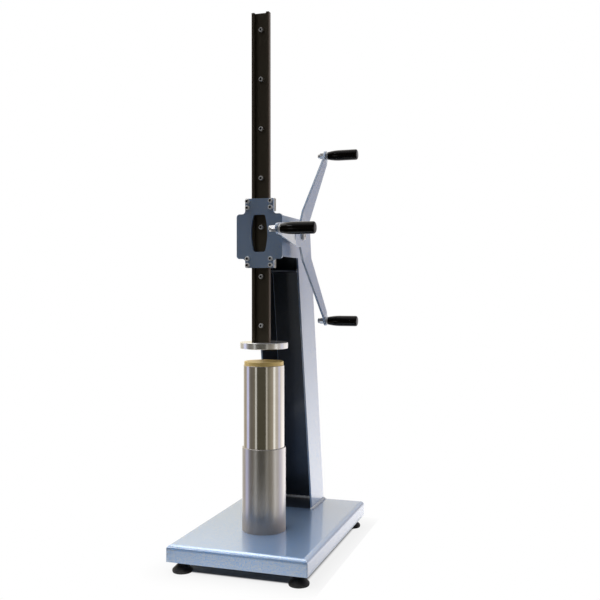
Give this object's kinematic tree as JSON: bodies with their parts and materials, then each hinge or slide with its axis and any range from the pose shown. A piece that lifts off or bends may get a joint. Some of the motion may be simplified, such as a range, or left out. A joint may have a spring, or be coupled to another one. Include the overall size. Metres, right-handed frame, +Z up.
{
  "type": "soil sample extruder",
  "caption": "Hand-cranked rack-and-pinion press on a folded steel stand that pushes a soil sample out of a sampling tube standing in a sleeve.",
  "frame": {"origin": "on the floor under the pressing disc's vertical axis", "axes": "+Z up, +X to the user's right (crank side), +Y from the user towards the column"},
  "size_m": [0.3259, 0.4941, 1.1854],
  "materials": {
    "painted_blue": "fine-speckled blue-grey paint",
    "black_rubber": "matte",
    "raw_steel": "turned",
    "zinc": "zinc plated",
    "acetal": "machined",
    "bronze": "machined",
    "black_oxide": "blackened",
    "turned_steel": "ground",
    "aluminium": "turned",
    "black_grip": "polished",
    "polished_steel": "polished stainless",
    "brass": "machined"
  },
  "bodies": {
    "stand": {"base_tray": "painted_blue", "foot_bosses": "raw_steel", "rubber_feet": "black_rubber", "foot_washers": "zinc", "foot_screws": "zinc", "column": "painted_blue", "column_cross_plate": "painted_blue", "head_top_plate": "painted_blue", "front_plate": "painted_blue", "guide_shoe_upper_left": "acetal", "guide_shoe_upper_right": "acetal", "guide_shoe_lower_left": "acetal", "guide_shoe_lower_right": "acetal", "shoe_screws": "zinc", "bearing_boss_left": "painted_blue", "bearing_boss_right": "painted_blue", "bearing_bush_left": "bronze", "bearing_bush_right": "bronze"},
    "rack": {"rack_channel": "black_oxide", "toothed_bar": "black_oxide", "rack_screws": "zinc", "pressing_disc": "aluminium", "disc_screws": "zinc"},
    "crank": {"crank_shaft": "turned_steel", "pinion": "black_oxide", "pinion_key": "black_oxide", "pinion_spacers": "turned_steel", "thrust_washer": "turned_steel", "retaining_ring": "black_oxide", "hub_boss": "raw_steel", "hub_key": "black_oxide", "crank_star": "painted_blue", "hub_washer": "zinc", "hub_screw": "zinc", "grip_spindles": "zinc", "grip_rings": "black_oxide", "nut_washers": "zinc", "acorn_nuts": "zinc"},
    "front_grip": {"grip_front": "black_grip"},
    "upper_grip": {"grip_upper": "black_grip"},
    "lower_grip": {"grip_lower": "black_grip"},
    "sampler": {"support_sleeve": "raw_steel", "sample_tube": "polished_steel"},
    "piston": {"ejector_piston": "brass"}
  },
  "joints": [
    {"name": "rack_slide", "type": "slide", "parent": "stand", "child": "rack", "axis": [0, 0, 1], "range_m": [-0.0275, 0.155]},
    {"name": "crank_turn", "type": "hinge", "parent": "stand", "child": "crank", "pos_m": [0, 0.0414, 0.706], "axis": [1, 0, 0], "range_deg": [-300, 55]},
    {"name": "front_grip_spin", "type": "hinge", "parent": "crank", "child": "front_grip", "pos_m": [0.1, -0.18, 0.706], "axis": [1, 0, 0], "continuous": true},
    {"name": "upper_grip_spin", "type": "hinge", "parent": "crank", "child": "upper_grip", "pos_m": [0.1, 0.1521, 0.89774], "axis": [1, 0, 0], "continuous": true},
    {"name": "lower_grip_spin", "type": "hinge", "parent": "crank", "child": "lower_grip", "pos_m": [0.1, 0.1521, 0.51426], "axis": [1, 0, 0], "continuous": true},
    {"name": "sleeve_slide", "type": "slide", "parent": "stand", "child": "sampler", "axis": [0, -1, 0], "range_m": [0, 0.11]},
    {"name": "piston_slide", "type": "slide", "parent": "sampler", "child": "piston", "axis": [0, 0, 1], "range_m": [-0.21, 0]}
  ],
  "couplings": [
    {"joint": "crank_turn", "follows": "rack_slide", "rad_per_m": -33.333}
  ]
}
